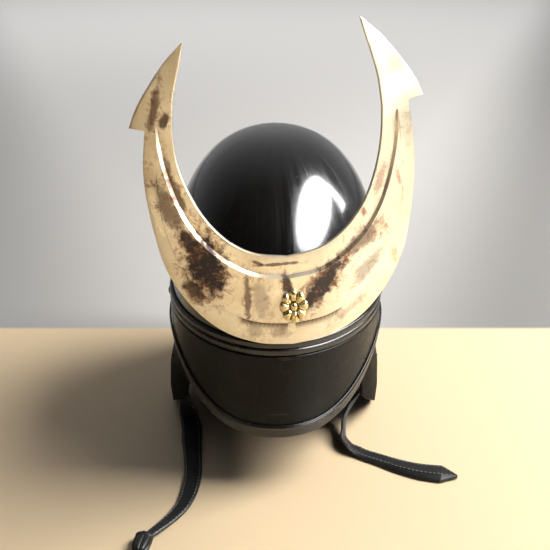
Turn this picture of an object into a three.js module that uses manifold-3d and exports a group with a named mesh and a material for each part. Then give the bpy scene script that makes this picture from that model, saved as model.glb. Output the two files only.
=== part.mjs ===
// A samurai helmet (kabuto) with a black bowl, a leather peak, neck guard, ear flaps and chin straps,
// and a cast crescent crest on its brow. Millimetres, +Z up, the wearer looks along -Y.

import * as THREE from 'three';
import { mergeVertices } from 'three/addons/utils/BufferGeometryUtils.js';
import Module from 'manifold-3d';

const wasm = await Module();
wasm.setup();

// ---- driving sizes ----

const DEGREE = Math.PI / 180;
const GAP = 0.3; // between pieces that touch

// The bowl is a half egg above its brow line, fuller than an ellipsoid, with a short straight skirt below.
const BOWL = { halfWidth: 94.5, halfLength: 116, height: 150, fullness: 2.35, browZ: 125, rimZ: 113, wall: 3 };

// The peak hangs nearly upright from the brow, and its lower edge rises towards the ears.
const PEAK = { reach: 100, topZ: 124, lowZ: 52, rise: 55.5, riseBend: 3.2, flare: 8.5, wall: 2.4 };
const RIM = { width: 11, endWidth: 3, narrowing: 8, below: 1.2, thick: 1.2, ridge: 0.7 };
const BEAD = { lowZ: 124.4, topZ: 138, base: 1, ridge: 1.8, ridges: 2 };

// The neck guard goes round the back and stands on the ground with the ear flaps.
const GUARD = { from: 102, to: 258, topZ: 124, wall: 2.6, backFlare: 16, sideFlare: 4, cornerTurn: 23, cornerZ: 28 };
const FLAP = { frontY: -60, rearY: 22, topZ: 128, halfLength: 100, wall: 2.6 };

// The crest is a flat crescent, bent round an upright axis, rolled and turned a little, and leaning back.
const CREST = {
  thick: 2.6,
  field: 2,
  innerBevel: 2.4,
  outerBevel: 1,
  bend: 220,
  roll: 3.6,
  turn: 5.24,
  lean: 5,
  baseX: 2.2,
  baseY: -125,
  baseZ: 141,
  hornLift: 4.2, // one horn stands this much higher than the middle of the two, the other this much lower
};
const POST = { width: 26, low: 12, high: 52 };
const ROSETTE = { u: 2.5, v: 34, halfWidth: 11, halfHeight: 14, petals: 8, disc: 1.4, rise: 3.4 };
const STUD = { radius: 6.1, rise: 4.6, y: 9, z: 116.2 };
const RIVET = { radius: 2.5, rise: 1.4, y: -20, z: 61 };
const STRAP_THICK = 3;

// ---- outlines ----

// Distance of each flap's outer face from the middle of the head, at each height.
const FLAP_PROFILE = [
  { z: 0, left: 98.9, right: 96.1 },
  { z: 3, left: 101.4, right: 98.6 },
  { z: 8, left: 102.8, right: 99.9 },
  { z: 25, left: 103.9, right: 100.7 },
  { z: 48, left: 102.3, right: 99.6 },
  { z: 65, left: 98.4, right: 96.8 },
  { z: 80, left: 94.6, right: 94.0 },
  { z: 95, left: 91.8, right: 91.8 },
  { z: 106, left: 90.8, right: 90.8 },
  { z: 128, left: 90.7, right: 90.7 },
];

// Lower edge of a flap, from its front edge back.
const FLAP_EDGE = [
  { y: -60, z: 44 },
  { y: -52, z: 33 },
  { y: -36, z: 20 },
  { y: -22, z: 9 },
  { y: -12, z: 2 },
  { y: -6, z: 0 },
  { y: 6, z: 0 },
  { y: 13, z: 3 },
  { y: 19, z: 10 },
  { y: 22, z: 20 },
];

// Right halves of the crescent's edges, from the middle upwards. u is across, v is up.
const CREST_EDGES = {
  outer: [[0, 0], [28, 3.4], [56, 15], [79, 36], [94.5, 62], [101.5, 92], [104.5, 122], [103.5, 146], [98.3, 173]],
  inner: [[0, 73.5], [26, 78], [45, 89.5], [60, 107], [70, 128], [75.5, 150], [76.6, 170]],
  headOuter: [[112, 174], [104, 188], [90.6, 205], [75.7, 221.5], [61.4, 234]],
  headInner: [[76.6, 171.5], [73.4, 194], [66.5, 216], [61, 233.4]],
  fieldOuter: [[0, 18.3], [30, 22.5], [54, 35], [72, 52], [84.5, 74], [91, 98], [92.5, 128], [88.3, 172]],
  fieldInner: [[0, 59.3], [24, 62.5], [44, 73], [60, 87], [72, 104.5], [80, 125], [85, 146], [87.7, 171.6]],
};

// Chin straps: the middle of the strap, its width, and the direction across it. The right one has a
// crease along it, which stands ridge above its edges at STRAP_FOLD of its width.
const STRAP_FOLD = 0.28;
const STRAP_LEFT = [
  { x: -90.2, y: -22, z: 68, width: 16, across: [0.22, -1, 0] },
  { x: -90.8, y: -24, z: 44, width: 16, across: [0.22, -1, 0] },
  { x: -87.5, y: -29, z: 22, width: 16, across: [0.6, -0.8, 0] },
  { x: -83.5, y: -41, z: 7, width: 17, across: [0.95, -0.3, -0.1] },
  { x: -79.5, y: -56, z: 2.6, width: 19, across: [1, 0, 0] },
  { x: -77.5, y: -72.5, z: 1.7, width: 19, across: [1, 0.1, 0] },
  { x: -74.5, y: -95, z: 1.6, width: 16.5, across: [1, 0.1, 0] },
  { x: -72, y: -120, z: 1.6, width: 15.3, across: [1, 0, 0] },
  { x: -73.2, y: -139, z: 1.6, width: 14.6, across: [1, -0.2, 0] },
  { x: -76.8, y: -155, z: 1.6, width: 12.2, across: [0.91, -0.42, 0] },
  { x: -84.8, y: -169.5, z: 1.7, width: 10.3, across: [0.83, -0.56, 0] },
  { x: -99.2, y: -189.4, z: 3.8, width: 7.6, across: [0.8, -0.6, 0] },
];
const STRAP_RIGHT = [
  { x: 88.6, y: -22, z: 68, width: 14, ridge: 0, across: [0.22, 1, 0] },
  { x: 87.6, y: -26, z: 48, width: 14, ridge: 0, across: [0.1, 1, -0.2] },
  { x: 79, y: -36, z: 29, width: 14, ridge: 0, across: [0.1, 0.8, -0.6] },
  { x: 67.5, y: -49, z: 16.5, width: 14, ridge: 0, across: [0, 0.55, -0.83] },
  { x: 63.2, y: -66, z: 9.5, width: 14, ridge: 0, across: [0.15, 0.2, -0.97] },
  { x: 65.5, y: -82, z: 5.6, width: 14, ridge: 0, across: [0.6, 0.55, -0.5] },
  { x: 77, y: -91, z: 2.2, width: 13, ridge: 0.4, across: [0.5, 0.87, 0] },
  { x: 93.5, y: -99.7, z: 1.6, width: 14.5, ridge: 1.2, across: [0.45, 0.89, 0] },
  { x: 110.3, y: -108.5, z: 1.6, width: 17, ridge: 2, across: [0.4, 0.92, 0] },
  { x: 127, y: -114.8, z: 1.8, width: 19, ridge: 2.4, across: [0.3, 0.95, 0] },
  { x: 144.8, y: -118.6, z: 2.4, width: 20, ridge: 2.4, across: [0.3, 0.95, 0] },
  { x: 158.2, y: -122.6, z: 2.9, width: 1.6, ridge: 0, across: [0.3, 0.95, 0] },
];
// The knot at the left strap's end: the strap gathered into lengthwise folds, with a turn of it round
// them. Its axis leaves x, y, z along heading.
const KNOT = {
  x: -102.4,
  y: -190,
  z: 5.55,
  heading: [-0.12, -0.99],
  length: 19,
  halfWidth: 6.9,
  halfHeight: 4.9,
  folds: 7,
  foldDepth: 0.1,
  turn: { at: 0.17, radius: 0.82, cord: 0.28 },
  tailTo: [-111.941, -212.949],
};
const KNOT_PROFILE = [
  { along: 0, width: 0 },
  { along: 0.02, width: 0.6 },
  { along: 0.12, width: 0.88 },
  { along: 0.3, width: 0.98 },
  { along: 0.6, width: 1 },
  { along: 0.82, width: 0.92 },
  { along: 0.96, width: 0.7 },
  { along: 1, width: 0.4 },
  { along: 1, width: 0 },
];

// ---- helpers ----

const mix = THREE.MathUtils.lerp;
const ease = THREE.MathUtils.smoothstep;

// Straight lines between the rows of a table with named columns.
function lookUp(table, column, at, value) {
  let i = 1;
  while (i < table.length - 1 && table[i][column] < at) i += 1;
  const low = table[i - 1];
  const high = table[i];
  const share = THREE.MathUtils.clamp((at - low[column]) / (high[column] - low[column]), 0, 1);
  return mix(low[value], high[value], share);
}

// Leaves position alone on the vertices, with the shared ones merged and the flat triangles that this
// makes at a pole dropped, so that the mesh is closed.
function closed(geometry) {
  geometry.deleteAttribute('normal');
  geometry.deleteAttribute('uv');
  const merged = mergeVertices(geometry, 1e-4);
  const corners = merged.index.array;
  const kept = [];
  for (let i = 0; i < corners.length; i += 3) {
    const [a, b, c] = corners.slice(i, i + 3);
    if (a !== b && b !== c && c !== a) kept.push(a, b, c);
  }
  merged.setIndex(kept);
  return merged;
}

// A unit box cut into columns, rows and layers, with each vertex moved to place(u, v, w).
// place keeps the box's handedness, so that its faces still point out.
function slab(columns, rows, place, layers = 1) {
  const geometry = new THREE.BoxGeometry(1, 1, 1, columns, rows, layers);
  geometry.translate(0.5, 0.5, 0.5);
  const position = geometry.attributes.position;
  for (let i = 0; i < position.count; i += 1) {
    const point = place(position.getX(i), position.getY(i), position.getZ(i));
    position.setXYZ(i, point.x, point.y, point.z);
  }
  return closed(geometry);
}

// A turned solid whose axis is +Z, from a profile of [radius, height] rows.
function turned(profile, sides) {
  const points = profile.map(([radius, height]) => new THREE.Vector2(radius, height));
  const geometry = new THREE.LatheGeometry(points, sides);
  geometry.rotateX(Math.PI / 2);
  return closed(geometry);
}

function solid(geometry) {
  const mesh = new wasm.Mesh({
    numProp: 3,
    vertProperties: new Float32Array(geometry.attributes.position.array),
    triVerts: new Uint32Array(geometry.index.array),
  });
  return new wasm.Manifold(mesh);
}

// One closed geometry that joins several, and is cut off flat at floor where one is given.
function joined(geometries, floor) {
  let whole = solid(geometries[0]);
  for (const geometry of geometries.slice(1)) whole = whole.add(solid(geometry));
  if (floor !== undefined) whole = whole.trimByPlane([0, 0, 1], floor);
  const mesh = whole.getMesh();
  const geometry = new THREE.BufferGeometry();
  geometry.setAttribute('position', new THREE.BufferAttribute(mesh.vertProperties, 3));
  geometry.setIndex(new THREE.BufferAttribute(mesh.triVerts, 1));
  return geometry;
}

// The frame of a small piece that sits on surface(u, v): Z out of the surface, X along u.
function seat(surface, u, v) {
  const step = 0.5;
  const at = surface(u, v);
  const alongU = surface(u + step, v).sub(at).normalize();
  const out = alongU.clone().cross(surface(u, v + step).sub(at)).normalize();
  const alongV = out.clone().cross(alongU);
  return new THREE.Matrix4().makeBasis(alongU, alongV, out).setPosition(at);
}

// ---- the shell of the helmet ----

// The bowl's width at a height, as a share of its width at the brow.
function bowlShrink(z) {
  const up = Math.max(0, z - BOWL.browZ) / BOWL.height;
  return (1 - up ** BOWL.fullness) ** (1 / BOWL.fullness);
}

// A point at an angle round the head, 0 at the front and 90 degrees at the right,
// on the bowl's ellipse at this height, moved out by out and ahead by ahead.
function around(angle, z, out, ahead = 0) {
  const shrink = bowlShrink(z);
  const x = (BOWL.halfWidth * shrink + out) * Math.sin(angle);
  const y = -(BOWL.halfLength * shrink + out + ahead) * Math.cos(angle);
  return new THREE.Vector3(x, y, z);
}

function bowl() {
  const steps = 9;
  const power = 2 / BOWL.fullness;
  const curve = (inset) => Array.from({ length: steps + 1 }, (_, i) => {
    const t = (i / steps) * (Math.PI / 2);
    const radius = (BOWL.halfWidth - inset) * Math.cos(t) ** power;
    return [radius, BOWL.browZ + (BOWL.height - inset) * Math.sin(t) ** power];
  });
  const outside = curve(0);
  const inside = curve(BOWL.wall);
  outside[steps][0] = 0;
  inside[steps][0] = 0;
  const profile = [
    ...inside.reverse(),
    [BOWL.halfWidth - BOWL.wall, BOWL.rimZ],
    [BOWL.halfWidth, BOWL.rimZ],
    ...outside,
  ];
  const geometry = turned(profile, 40);
  geometry.scale(1, BOWL.halfLength / BOWL.halfWidth, 1);
  return geometry;
}

function peakLowZ(angle) {
  const side = Math.sin(Math.min(Math.abs(angle), Math.PI / 2));
  return PEAK.lowZ + PEAK.rise * side ** PEAK.riseBend;
}

// How far the peak stands ahead of the bowl at a height.
function peakAhead(z) {
  const down = Math.max(0, PEAK.topZ - z) / (PEAK.topZ - PEAK.lowZ);
  return PEAK.flare * down ** 1.2;
}

function peak() {
  return slab(36, 6, (u, v, w) => {
    const angle = mix(-PEAK.reach, PEAK.reach, u) * DEGREE;
    const z = mix(peakLowZ(angle), PEAK.topZ, v);
    return around(angle, z, GAP + w * PEAK.wall, peakAhead(z));
  });
}

// A band over the peak's lower edge, with a raised line along its top.
function peakRim() {
  return slab(36, 4, (u, v, w) => {
    const angle = mix(-PEAK.reach, PEAK.reach, u) * DEGREE;
    const low = peakLowZ(angle);
    const width = mix(RIM.width, RIM.endWidth, Math.abs(Math.sin(angle)) ** RIM.narrowing);
    const z = low - RIM.below + v * width;
    const ridge = v > 0.6 && v < 0.9 ? RIM.ridge : 0;
    return around(angle, z, 2 * GAP + PEAK.wall + w * (RIM.thick + ridge), peakAhead(z));
  });
}

// Two rounded ridges along the brow, above the peak.
function browBead() {
  return slab(36, 8, (u, v, w) => {
    const angle = mix(-PEAK.reach, PEAK.reach, u) * DEGREE;
    const z = mix(BEAD.lowZ, BEAD.topZ, v);
    const ridge = Math.abs(Math.sin(BEAD.ridges * Math.PI * v)) * BEAD.ridge;
    return around(angle, z, GAP + w * (BEAD.base + ridge));
  });
}

function neckGuard() {
  return slab(36, 8, (u, v, w) => {
    const degrees = mix(GUARD.from, GUARD.to, u);
    const fromEnd = Math.min(degrees - GUARD.from, GUARD.to - degrees) / GUARD.cornerTurn;
    const corner = GUARD.cornerZ * Math.max(0, 1 - fromEnd) ** 2;
    const z = mix(corner, GUARD.topZ, v);
    const down = (1 - z / GUARD.topZ) ** 1.3;
    const ahead = (GUARD.backFlare - GUARD.sideFlare) * down;
    return around(degrees * DEGREE, z, GAP + w * GUARD.wall + GUARD.sideFlare * down, ahead);
  });
}

// A point on a flap's outer face. Left and right are as seen from the front, and side is 1 at the right.
function flapFace(side, y, z) {
  const halfWidth = lookUp(FLAP_PROFILE, 'z', z, side > 0 ? 'right' : 'left');
  const along = y / FLAP.halfLength;
  return new THREE.Vector3(side * halfWidth * Math.sqrt(1 - along * along), y, z);
}

function earFlap(side) {
  return slab(16, 9, (u, v, w) => {
    const y = side > 0 ? mix(FLAP.frontY, FLAP.rearY, u) : mix(FLAP.rearY, FLAP.frontY, u);
    const z = mix(lookUp(FLAP_EDGE, 'y', y, 'z'), FLAP.topZ, v);
    const point = flapFace(side, y, z);
    point.x -= side * (1 - w) * FLAP.wall;
    return point;
  });
}

// ---- the crest ----

// A point of the crest: u across, v up, w out of the middle of the plate's thickness.
function onCrest(u, v, w) {
  const roll = CREST.roll * DEGREE;
  const lean = CREST.lean * DEGREE;
  const across = u * Math.cos(roll) - v * Math.sin(roll);
  const up = u * Math.sin(roll) + v * Math.cos(roll);
  const bent = across / CREST.bend;
  const back = CREST.bend - (CREST.bend + w) * Math.cos(bent);
  const point = new THREE.Vector3((CREST.bend + w) * Math.sin(bent), back + up * Math.sin(lean), up * Math.cos(lean));
  point.add(new THREE.Vector3(CREST.baseX, CREST.baseY, CREST.baseZ));
  return point.applyAxisAngle(new THREE.Vector3(0, 0, 1), CREST.turn * DEGREE);
}

function edge(name, steps) {
  const points = CREST_EDGES[name].map(([u, v]) => new THREE.Vector2(u, v));
  return new THREE.SplineCurve(points).getSpacedPoints(steps);
}

// Rungs from one horn's tip through the middle to the other's, from two edges of the right half.
function rungs(outer, inner) {
  const right = outer.map((point, i) => [point, inner[i]]);
  const mirror = (point) => new THREE.Vector2(-point.x, point.y);
  const left = right.slice(1).map(([a, b]) => [mirror(a), mirror(b)]);
  return [...left.reverse(), ...right];
}

function horn(point) {
  const lift = CREST.hornLift * ease(point.y, 110, 170) * Math.sign(point.x);
  return new THREE.Vector2(point.x, point.y + lift);
}

function crestPlate() {
  const bodySteps = 18;
  const headSteps = 6;
  const outer = [...edge('outer', bodySteps), ...edge('headOuter', headSteps)];
  const inner = [...edge('inner', bodySteps), ...edge('headInner', headSteps)];
  const ladder = rungs(outer, inner);
  return slab(ladder.length - 1, 2, (u, v, w) => {
    const [low, high] = ladder[Math.round(u * (ladder.length - 1))];
    const point = horn(low).lerp(horn(high), v);
    return onCrest(point.x, point.y, (w - 0.5) * CREST.thick);
  });
}

// The raised crescent on the plate, with bevelled edges and its back sunk into the plate.
function crestField() {
  const steps = 18;
  const ladder = rungs(edge('fieldOuter', steps), edge('fieldInner', steps));
  const face = CREST.thick / 2;
  return slab(ladder.length - 1, 3, (u, v, w) => {
    const [low, high] = ladder[Math.round(u * (ladder.length - 1))];
    const width = low.distanceTo(high);
    const outer = Math.min(0.3, CREST.outerBevel / width);
    const inner = Math.min(0.5, CREST.innerBevel / width);
    const row = Math.round(v * 3);
    const across = [0, outer, 1 - inner, 1][row];
    const top = row === 0 || row === 3 ? face - GAP : face + CREST.field;
    const point = low.clone().lerp(high, across);
    return onCrest(point.x, point.y, w > 0.5 ? top : 0);
  });
}

function crescent() {
  return joined([crestPlate(), crestField()]);
}

// The holder behind the crest fills the space between it and the bowl.
function crestPost() {
  return slab(6, 8, (u, v, w) => {
    const front = onCrest((u - 0.5) * POST.width, mix(POST.low, POST.high, v), -CREST.thick / 2 - GAP);
    if (w > 0.5) return front;
    const shrink = bowlShrink(front.z);
    const aside = front.x / (BOWL.halfWidth * shrink);
    const y = -BOWL.halfLength * shrink * Math.sqrt(1 - aside * aside) - 2 * GAP;
    return new THREE.Vector3(front.x, y, front.z);
  });
}

function ball(x, y, z, rx, ry, rz, sides = 10) {
  const geometry = new THREE.SphereGeometry(1, sides, Math.round(sides * 0.7));
  geometry.scale(rx, ry, rz);
  geometry.translate(x, y, z);
  return closed(geometry);
}

// An oval flower: rounded petals round a bead, on a thin disc.
function rosette() {
  const disc = new THREE.CylinderGeometry(1, 1, ROSETTE.disc, 24);
  disc.rotateX(Math.PI / 2);
  disc.scale(ROSETTE.halfWidth * 0.86, ROSETTE.halfHeight * 0.86, 1);
  disc.translate(0, 0, ROSETTE.disc / 2);
  const pieces = [closed(disc)];
  for (let i = 0; i < ROSETTE.petals; i += 1) {
    const angle = ((i + 0.5) / ROSETTE.petals) * 2 * Math.PI;
    const petal = ball(0, 0, 0, 3.6, 3.3, 2.3, 7);
    petal.rotateZ(angle);
    const x = Math.cos(angle) * (ROSETTE.halfWidth - 3.6);
    const y = Math.sin(angle) * (ROSETTE.halfHeight - 3.7);
    petal.translate(x, y, ROSETTE.disc);
    pieces.push(petal);
  }
  pieces.push(ball(0, 0, ROSETTE.disc, 2.8, 2.8, ROSETTE.rise - ROSETTE.disc, 10));
  const geometry = joined(pieces, 0);
  const face = CREST.thick / 2 + CREST.field + GAP;
  geometry.applyMatrix4(seat((u, v) => onCrest(u, v, face), ROSETTE.u, ROSETTE.v));
  return geometry;
}

// ---- fasteners and straps ----

function dome(radius, rise) {
  const steps = 4;
  const curve = Array.from({ length: steps + 1 }, (_, i) => {
    const t = (i / steps) * (Math.PI / 2);
    return [radius * Math.cos(t), rise * Math.sin(t)];
  });
  curve[steps][0] = 0;
  return turned([[0, 0], ...curve], 14);
}

// A domed stud on the side of the peak, by the ear.
function stud(side) {
  const geometry = dome(STUD.radius, STUD.rise);
  const out = 2.5 * GAP + PEAK.wall;
  const face = (y, z) => {
    const along = y / (BOWL.halfLength + out);
    return new THREE.Vector3(side * (BOWL.halfWidth + out) * Math.sqrt(1 - along * along), side * y, z);
  };
  geometry.applyMatrix4(seat(face, side * STUD.y, STUD.z));
  return geometry;
}

function flapRivet(side) {
  const geometry = dome(RIVET.radius, RIVET.rise);
  const face = (y, z) => flapFace(side, side * y, z).add(new THREE.Vector3(side * GAP, 0, 0));
  geometry.applyMatrix4(seat(face, side * RIVET.y, RIVET.z));
  return geometry;
}

// A flat strap through the rows of its table.
function strap(rows, steps) {
  const middle = new THREE.CatmullRomCurve3(rows.map((row) => new THREE.Vector3(row.x, row.y, row.z)));
  const last = rows.length - 1;
  const creased = 'ridge' in rows[0];
  return slab(steps, creased ? 2 : 1, (u, v, w) => {
    const at = u * last;
    const i = Math.min(last - 1, Math.floor(at));
    const share = at - i;
    const width = mix(rows[i].width, rows[i + 1].width, share);
    const ridge = creased ? mix(rows[i].ridge, rows[i + 1].ridge, share) : 0;
    const onFold = v > 0 && v < 1;
    const here = new THREE.Vector3(...rows[i].across).normalize();
    const next = new THREE.Vector3(...rows[i + 1].across).normalize();
    const along = middle.getTangent(u);
    const across = here.lerp(next, ease(share, 0, 1));
    across.addScaledVector(along, -across.dot(along)).normalize();
    const out = along.clone().cross(across);
    const point = middle.getPoint(u);
    point.addScaledVector(across, ((onFold ? STRAP_FOLD : v) - 0.5) * width);
    return point.addScaledVector(out, (w - 0.5) * STRAP_THICK + (onFold ? ridge : 0));
  });
}

function strapKnot() {
  const profile = KNOT_PROFILE.map(({ along, width }) => [width, along * (KNOT.length / KNOT.halfWidth)]);
  const body = turned(profile, 4 * KNOT.folds);
  const position = body.attributes.position;
  for (let i = 0; i < position.count; i += 1) {
    const [x, y] = [position.getX(i), position.getY(i)];
    const fold = 1 + KNOT.foldDepth * Math.cos(KNOT.folds * Math.atan2(y, x));
    position.setXYZ(i, x * fold, y * fold, position.getZ(i));
  }
  const { at, radius, cord } = KNOT.turn;
  const turn = new THREE.TorusGeometry(radius, cord, 6, 20);
  turn.translate(0, 0, at * (KNOT.length / KNOT.halfWidth));
  const knot = joined([body, closed(turn)]);

  const heading = new THREE.Vector3(...KNOT.heading, 0).normalize();
  const up = new THREE.Vector3(0, 0, 1);
  const placed = new THREE.Matrix4().makeBasis(up.clone().cross(heading), up, heading);
  knot.scale(KNOT.halfWidth, KNOT.halfHeight, KNOT.halfWidth);
  knot.applyMatrix4(placed.setPosition(KNOT.x, KNOT.y, KNOT.z));

  const [endX, endY] = KNOT.tailTo;
  const inside = new THREE.Vector3(KNOT.x, KNOT.y, KNOT.z).addScaledVector(heading, KNOT.length - 5);
  const across = [0.9, -0.4, 0];
  const tail = [
    { x: inside.x, y: inside.y, z: 5, width: 8, across },
    { x: mix(inside.x, endX, 0.6), y: mix(inside.y, endY, 0.6), z: 2.197, width: 9, across },
    { x: endX, y: endY, z: 1.6, width: 8, across },
  ];
  return joined([knot, strap(tail, 8)]);
}

// ---- assembly ----

const FINISHES = {
  lacquer: { color: 0x101012, roughness: 0.25, metalness: 0 },
  leather: { color: 0x1d1d1e, roughness: 0.55, metalness: 0 },
  ivory: { color: 0xd9c79a, roughness: 0.4, metalness: 0.35 },
  gold: { color: 0xa58a45, roughness: 0.3, metalness: 0.9 },
  steel: { color: 0x1a1a1b, roughness: 0.3, metalness: 0.7 },
};

const helmet = new THREE.Group();

function add(name, geometry, finish) {
  geometry.computeVertexNormals();
  const mesh = new THREE.Mesh(geometry, new THREE.MeshStandardMaterial(FINISHES[finish]));
  mesh.name = name;
  helmet.add(mesh);
}

add('bowl', bowl(), 'lacquer');
add('brow_bead', browBead(), 'leather');
add('peak', peak(), 'leather');
add('peak_rim', peakRim(), 'leather');
add('neck_guard', neckGuard(), 'leather');
add('crescent', crescent(), 'ivory');
add('crescent_post', crestPost(), 'steel');
add('rosette', rosette(), 'gold');
for (const [hand, side] of [['left', -1], ['right', 1]]) {
  add(`ear_flap_${hand}`, earFlap(side), 'leather');
  add(`stud_${hand}`, stud(side), 'steel');
  add(`flap_rivet_${hand}`, flapRivet(side), 'steel');
}
add('strap_left', strap(STRAP_LEFT, 44), 'leather');
add('strap_left_knot', strapKnot(), 'leather');
add('strap_right', strap(STRAP_RIGHT, 44), 'leather');

// The box of the whole helmet stands on z = 0, centred on the origin.
const box = new THREE.Box3().setFromObject(helmet);
const centre = box.getCenter(new THREE.Vector3());
helmet.position.set(-centre.x, -centre.y, -box.min.z);

export default helmet;
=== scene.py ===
"""A black samurai helmet (kabuto) with a crescent crest, dressed over its CAD frame.

Lengths are millimetres from the middle of the bowl, on the ground, until metres() places them.
The wearer looks along -Y, and left and right are as seen from the front.
"""

import math

import bmesh
import bpy
from mathutils import Matrix, Vector


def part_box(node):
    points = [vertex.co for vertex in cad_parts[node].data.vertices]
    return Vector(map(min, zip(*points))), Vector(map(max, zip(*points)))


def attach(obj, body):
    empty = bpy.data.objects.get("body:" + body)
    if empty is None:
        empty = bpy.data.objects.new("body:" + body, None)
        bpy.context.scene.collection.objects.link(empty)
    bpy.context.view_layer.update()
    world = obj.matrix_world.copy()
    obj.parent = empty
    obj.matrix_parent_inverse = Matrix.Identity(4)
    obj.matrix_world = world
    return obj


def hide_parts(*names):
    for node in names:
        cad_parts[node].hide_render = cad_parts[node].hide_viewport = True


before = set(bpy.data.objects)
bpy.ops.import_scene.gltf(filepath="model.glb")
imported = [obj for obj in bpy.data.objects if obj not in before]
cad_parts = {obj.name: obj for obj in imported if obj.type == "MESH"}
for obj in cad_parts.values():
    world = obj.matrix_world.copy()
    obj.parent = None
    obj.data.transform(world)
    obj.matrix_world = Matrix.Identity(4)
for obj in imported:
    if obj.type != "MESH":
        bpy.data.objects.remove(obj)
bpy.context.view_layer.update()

# ---- driving sizes ----

MM = 0.001
GAP = 0.3
TURN = 2 * math.pi

bowl_low, bowl_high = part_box("bowl")
MIDDLE = Vector(((bowl_low.x + bowl_high.x) / 2, (bowl_low.y + bowl_high.y) / 2, 0))
HALF_WIDTH = (bowl_high.x - bowl_low.x) / 2 / MM
HALF_LENGTH = (bowl_high.y - bowl_low.y) / 2 / MM
BOWL = {"fullness": 2.35, "brow_z": 125, "rim_z": bowl_low.z / MM, "wall": 3, "lip": 1.2}
BOWL["height"] = bowl_high.z / MM - BOWL["brow_z"]

PEAK = {
    "reach": 100,
    "top_z": 124,
    "low_z": 52,
    "rise": 55.5,
    "rise_bend": 3.2,
    "flare": 8.5,
    "wall": 2.4,
}
RIM = {"width": 11, "end_width": 3, "narrowing": 8, "below": 1.2, "thick": 1.2, "ridge": 0.7}
BEAD = {"low_z": 124.4, "top_z": 138, "base": 1, "ridge": 1.8, "ridges": 2}
GUARD = {
    "from": 102,
    "to": 258,
    "top_z": 124,
    "wall": 2.6,
    "back_flare": 16,
    "side_flare": 4,
    "corner_turn": 23,
    "corner_z": 28,
}
FLAP = {"front_y": -60, "rear_y": 22, "top_z": 128, "half_length": 100, "wall": 2.6}
CREST = {
    "thick": 2.6,
    "field": 2,
    "bend": 220,
    "roll": math.radians(3.6),
    "turn": math.radians(5.24),
    "lean": math.radians(5),
    "base": Vector((2.2, -125, 141)),
    "horn_lift": 4.2,
    "edge": 0.5,
    "inner_bevel": 2.6,
    "outer_bevel": 1.0,
}
ROSETTE = {"u": 2.5, "v": 34, "half_width": 11, "half_height": 14, "petals": 8, "rise": 3.4}
STUD = {"radius": 6.1, "rise": 4.6, "y": 9, "z": 116.2}
RIVET = {"radius": 2.5, "rise": 1.4, "y": -20, "z": 61}
STRAP = {"thick": 3, "edge": 1.1, "stitch": 2.4, "pitch": 3.6, "fold": 0.28, "welt": 0.4}

# ---- outlines ----

# Height, and the distance of each flap's outer face from the middle of the head.
FLAP_PROFILE = [
    (0, 98.9, 96.1),
    (3, 101.4, 98.6),
    (8, 102.8, 99.9),
    (25, 103.9, 100.7),
    (48, 102.3, 99.6),
    (65, 98.4, 96.8),
    (80, 94.6, 94.0),
    (95, 91.8, 91.8),
    (106, 90.8, 90.8),
    (128, 90.7, 90.7),
]

# Lower edge of a flap: y, z.
FLAP_EDGE = [
    (-60, 44),
    (-52, 33),
    (-36, 20),
    (-22, 9),
    (-12, 2),
    (-6, 0),
    (6, 0),
    (13, 3),
    (19, 10),
    (22, 20),
]

# Right halves of the crescent's edges, from the middle upwards: across, up.
CREST_EDGES = {
    "outer": [
        (0, 0), (28, 3.4), (56, 15), (79, 36), (94.5, 62),
        (101.5, 92), (104.5, 122), (103.5, 146), (98.3, 173),
    ],
    "inner": [
        (0, 73.5), (26, 78), (45, 89.5), (60, 107),
        (70, 128), (75.5, 150), (76.6, 170),
    ],
    "head_outer": [(112, 174), (104, 188), (90.6, 205), (75.7, 221.5), (61.4, 234)],
    "head_inner": [(76.6, 171.5), (73.4, 194), (66.5, 216), (61, 233.4)],
    "field_outer": [
        (0, 18.3), (30, 22.5), (54, 35), (72, 52),
        (84.5, 74), (91, 98), (92.5, 128), (88.3, 172),
    ],
    "field_inner": [
        (0, 59.3), (24, 62.5), (44, 73), (60, 87),
        (72, 104.5), (80, 125), (85, 146), (87.7, 171.6),
    ],
}

# Chin straps: middle x, y, z, width, the height of the crease along it, and the direction across.
STRAP_LEFT = [
    (-90.2, -22, 68, 16, 0, (0.22, -1, 0)),
    (-90.8, -24, 44, 16, 0, (0.22, -1, 0)),
    (-87.5, -29, 22, 16, 0, (0.6, -0.8, 0)),
    (-83.5, -41, 7, 17, 0, (0.95, -0.3, -0.1)),
    (-79.5, -56, 2.6, 19, 0, (1, 0, 0)),
    (-77.5, -72.5, 1.7, 19, 0, (1, 0.1, 0)),
    (-74.5, -95, 1.6, 16.5, 0, (1, 0.1, 0)),
    (-72, -120, 1.6, 15.3, 0, (1, 0, 0)),
    (-73.2, -139, 1.6, 14.6, 0, (1, -0.2, 0)),
    (-76.8, -155, 1.6, 12.2, 0, (0.91, -0.42, 0)),
    (-84.8, -169.5, 1.7, 10.3, 0, (0.83, -0.56, 0)),
    (-99.2, -189.4, 3.8, 7.6, 0, (0.8, -0.6, 0)),
]
STRAP_RIGHT = [
    (88.6, -22, 68, 14, 0, (0.22, 1, 0)),
    (87.6, -26, 48, 14, 0, (0.1, 1, -0.2)),
    (79, -36, 29, 14, 0, (0.1, 0.8, -0.6)),
    (67.5, -49, 16.5, 14, 0, (0, 0.55, -0.83)),
    (63.2, -66, 9.5, 14, 0, (0.15, 0.2, -0.97)),
    (65.5, -82, 5.6, 14, 0, (0.6, 0.55, -0.5)),
    (77, -91, 2.2, 13, 0.4, (0.5, 0.87, 0)),
    (93.5, -99.7, 1.6, 14.5, 1.2, (0.45, 0.89, 0)),
    (110.3, -108.5, 1.6, 17, 2, (0.4, 0.92, 0)),
    (127, -114.8, 1.8, 19, 2.4, (0.3, 0.95, 0)),
    (144.8, -118.6, 2.4, 20, 2.4, (0.3, 0.95, 0)),
    (158.2, -122.6, 2.9, 1.6, 0, (0.3, 0.95, 0)),
]
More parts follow.
